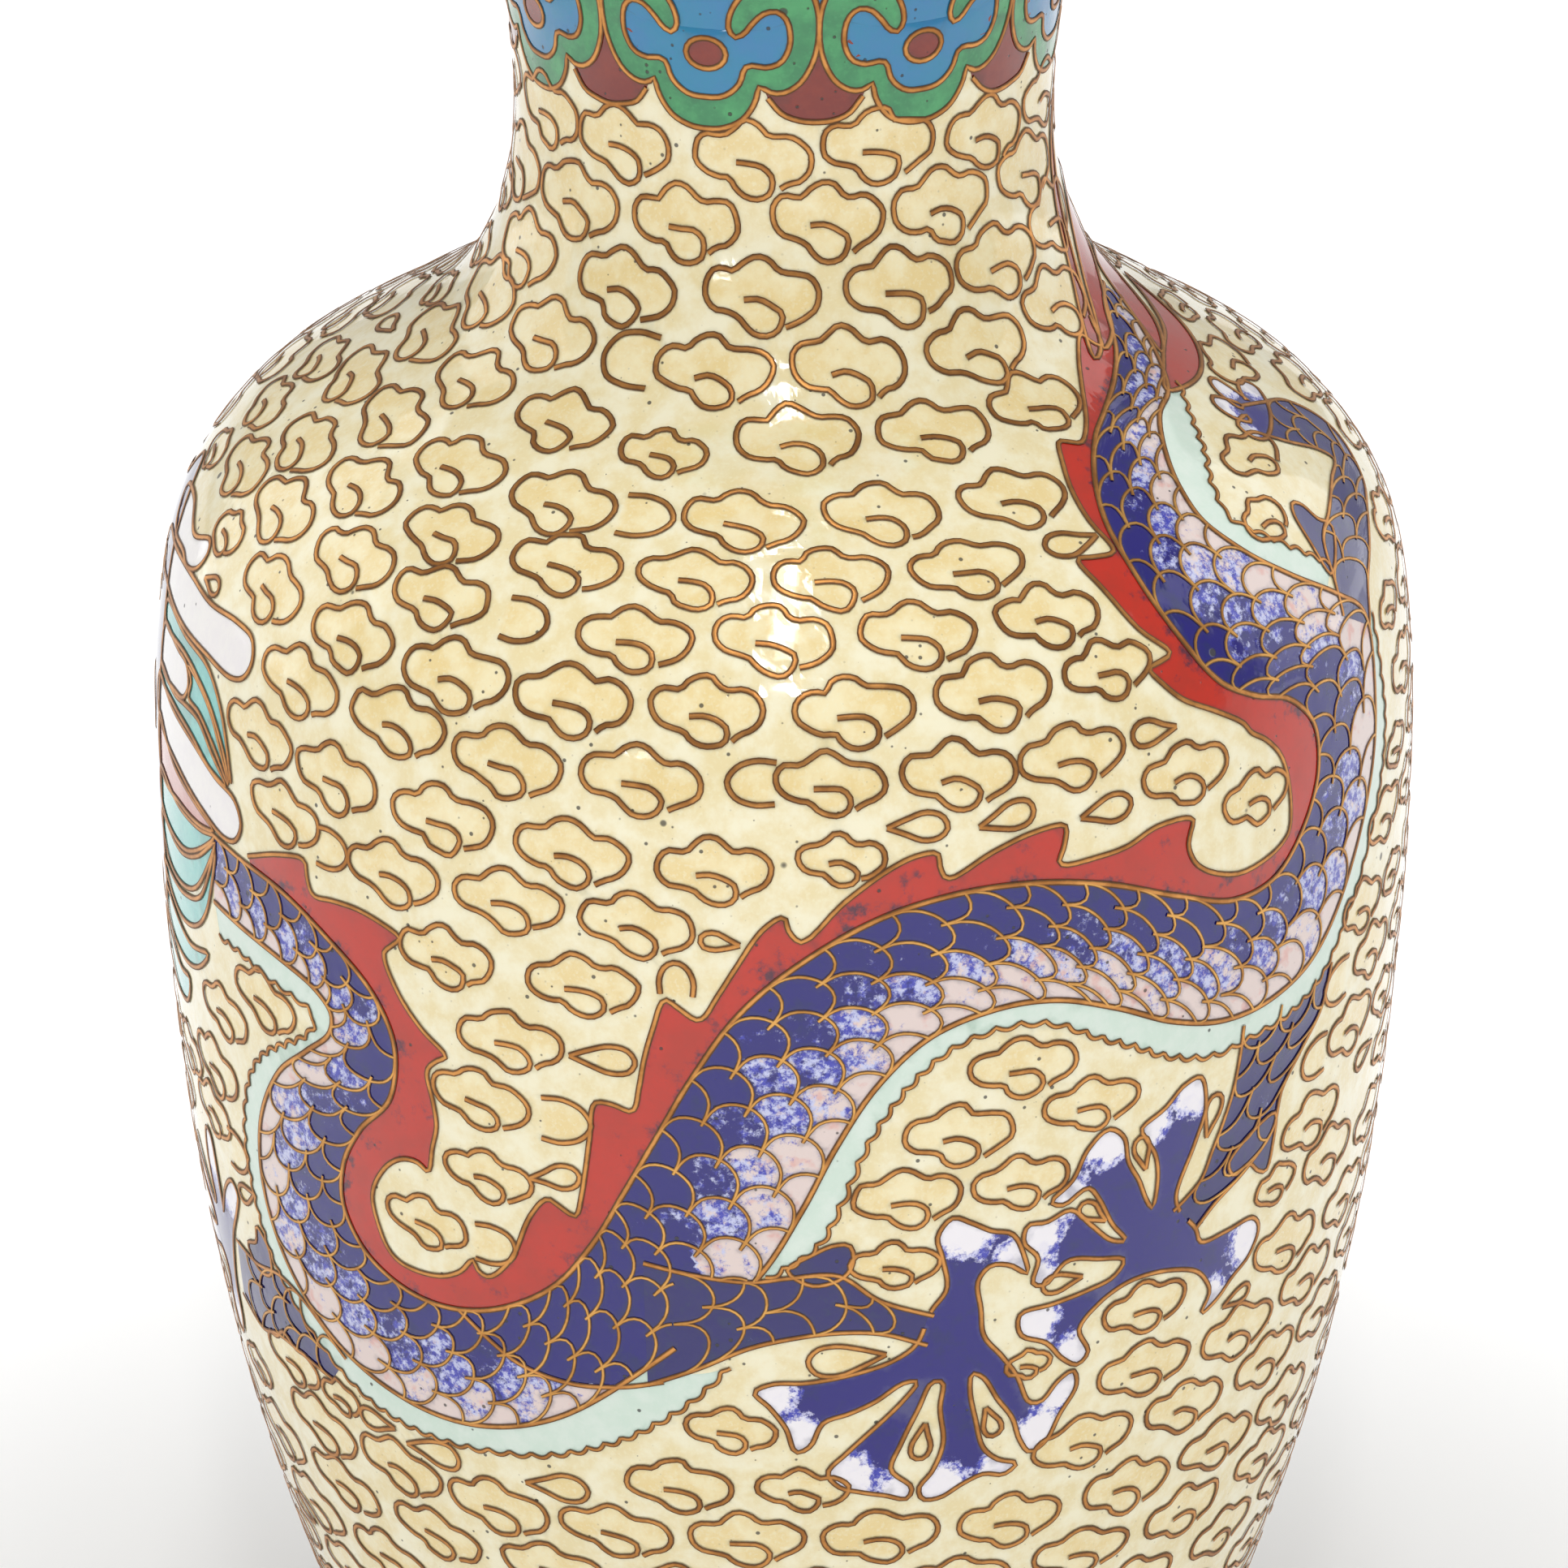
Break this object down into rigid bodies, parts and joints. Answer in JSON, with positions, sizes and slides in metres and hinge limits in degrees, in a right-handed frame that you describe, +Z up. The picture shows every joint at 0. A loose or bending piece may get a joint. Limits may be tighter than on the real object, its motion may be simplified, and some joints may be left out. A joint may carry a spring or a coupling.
{
  "type": "vase",
  "caption": "Shouldered baluster vase with a flared mouth and a raised foot, in wire-inlaid enamel on copper with a scaled dragon round the body.",
  "frame": {"origin": "centre of the foot, on the surface that the vase stands on", "axes": "+Z up along the vase's axis, -Y to the side that shows the middle of the dragon, +X to the right seen from there"},
  "size_m": [0.0996, 0.0996, 0.2023],
  "materials": {
    "gilt_brass": "worn satin brass",
    "copper": "plain spun copper, a little dull",
    "lining_enamel": "plain glossy counter-enamel",
    "cream_enamel": "polished glossy enamel with pin-holes",
    "blue_enamel": "polished glossy enamel",
    "green_enamel": "polished glossy enamel",
    "red_enamel": "polished glossy enamel",
    "pale_enamel": "polished glossy enamel",
    "teal_enamel": "polished glossy enamel",
    "white_enamel": "polished glossy enamel",
    "cobalt_enamel": "polished glossy enamel"
  },
  "bodies": {
    "root": {"base_plate": "copper", "body_lining": "lining_enamel", "collar_head_1": "green_enamel", "collar_head_2": "green_enamel", "collar_head_3": "green_enamel", "collar_head_4": "green_enamel", "collar_head_5": "green_enamel", "collar_head_6": "green_enamel", "collar_head_7": "green_enamel", "collar_head_8": "green_enamel", "collar_petal_1": "red_enamel", "collar_petal_2": "red_enamel", "collar_petal_3": "red_enamel", "collar_petal_4": "red_enamel", "collar_petal_5": "red_enamel", "collar_petal_6": "red_enamel", "collar_petal_7": "red_enamel", "collar_petal_8": "red_enamel", "collar_spot_1": "red_enamel", "collar_spot_2": "red_enamel", "collar_spot_3": "red_enamel", "collar_spot_4": "red_enamel", "collar_spot_5": "red_enamel", "collar_spot_6": "red_enamel", "collar_spot_7": "red_enamel", "collar_spot_8": "red_enamel", "cream_ground_enamel": "cream_enamel", "dragon_beard": "teal_enamel", "dragon_body": "cobalt_enamel", "dragon_fin": "red_enamel", "dragon_front_frill": "pale_enamel", "dragon_front_left_leg": "cobalt_enamel", "dragon_front_left_paw": "cobalt_enamel", "dragon_front_right_leg": "cobalt_enamel", "dragon_front_right_paw": "cobalt_enamel", "dragon_head": "cobalt_enamel", "dragon_lower_horn": "white_enamel", "dragon_mane": "teal_enamel", "dragon_middle_frill": "pale_enamel", "dragon_rear_frill": "pale_enamel", "dragon_rear_left_leg": "cobalt_enamel", "dragon_rear_left_paw": "cobalt_enamel", "dragon_rear_right_leg": "cobalt_enamel", "dragon_rear_right_paw": "cobalt_enamel", "dragon_tail_flame": "red_enamel", "dragon_upper_horn": "white_enamel", "flaming_pearl": "white_enamel", "floor_lining": "lining_enamel", "foot_band_enamel": "blue_enamel", "foot_copper": "copper", "foot_rim_ring": "gilt_brass", "lower_body_copper": "copper", "mouth_rim_ring": "gilt_brass", "neck_copper": "copper", "neck_enamel": "blue_enamel", "neck_lining": "lining_enamel", "underside_enamel": "lining_enamel", "upper_body_copper": "copper"}
  },
  "joints": []
}
